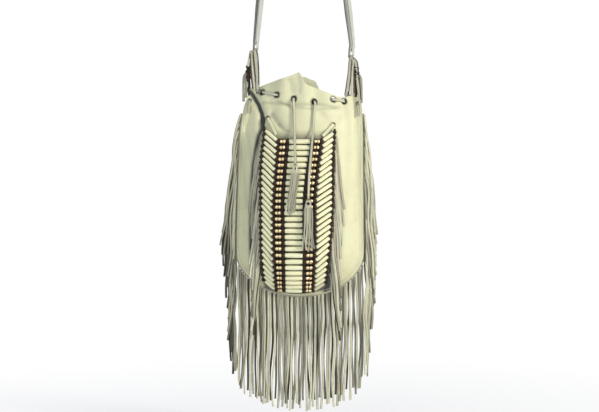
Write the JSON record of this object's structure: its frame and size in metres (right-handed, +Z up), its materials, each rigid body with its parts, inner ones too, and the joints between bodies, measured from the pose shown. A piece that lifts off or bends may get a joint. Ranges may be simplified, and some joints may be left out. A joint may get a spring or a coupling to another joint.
{
  "type": "drawstring shoulder bag",
  "caption": "Cream leather drawstring sack with a long shoulder strap, a bone and bead breastplate on the front and long seam fringe.",
  "frame": {"origin": "underside of the top of the strap's arch, where the bag hangs", "axes": "+Z up, the breastplate faces -Y, +X to the right as seen from the front"},
  "size_m": [0.2538, 0.0993, 1.0166],
  "materials": {
    "bag_leather": "matte",
    "strap_leather": "matte",
    "lace_leather": "matte",
    "suede": "matte",
    "dark_thong": "satin",
    "bone": "satin",
    "dark_beads": "gloss",
    "brass": "gloss"
  },
  "bodies": {
    "strap": {"strap": "strap_leather"},
    "bag": {"back_panel": "bag_leather", "beads_inner_left": "dark_beads", "beads_inner_right": "dark_beads", "beads_left": "dark_beads", "beads_outer_left": "dark_beads", "beads_outer_right": "dark_beads", "beads_right": "dark_beads", "bones_centre": "bone", "bones_left": "bone", "bones_right": "bone", "brass_left": "brass", "brass_right": "brass", "breastplate_bottom_thong": "dark_thong", "breastplate_fringe_left": "suede", "breastplate_fringe_right": "suede", "breastplate_tie_left": "lace_leather", "breastplate_tie_right": "lace_leather", "drawstring": "lace_leather", "drawstring_end_left": "lace_leather", "drawstring_end_right": "lace_leather", "fringe_bottom": "suede", "fringe_left_side": "suede", "fringe_right_side": "suede", "front_panel": "bag_leather", "strap_tie_left": "lace_leather", "strap_tie_right": "lace_leather", "tassel_left": "suede", "tassel_right": "suede"}
  },
  "joints": [
    {"name": "bag_swing", "type": "hinge", "parent": "strap", "child": "bag", "pos_m": [0.0035, 0, -0.4608], "axis": [0.9973, 0, -0.0728], "range_deg": [-60, 60]}
  ]
}
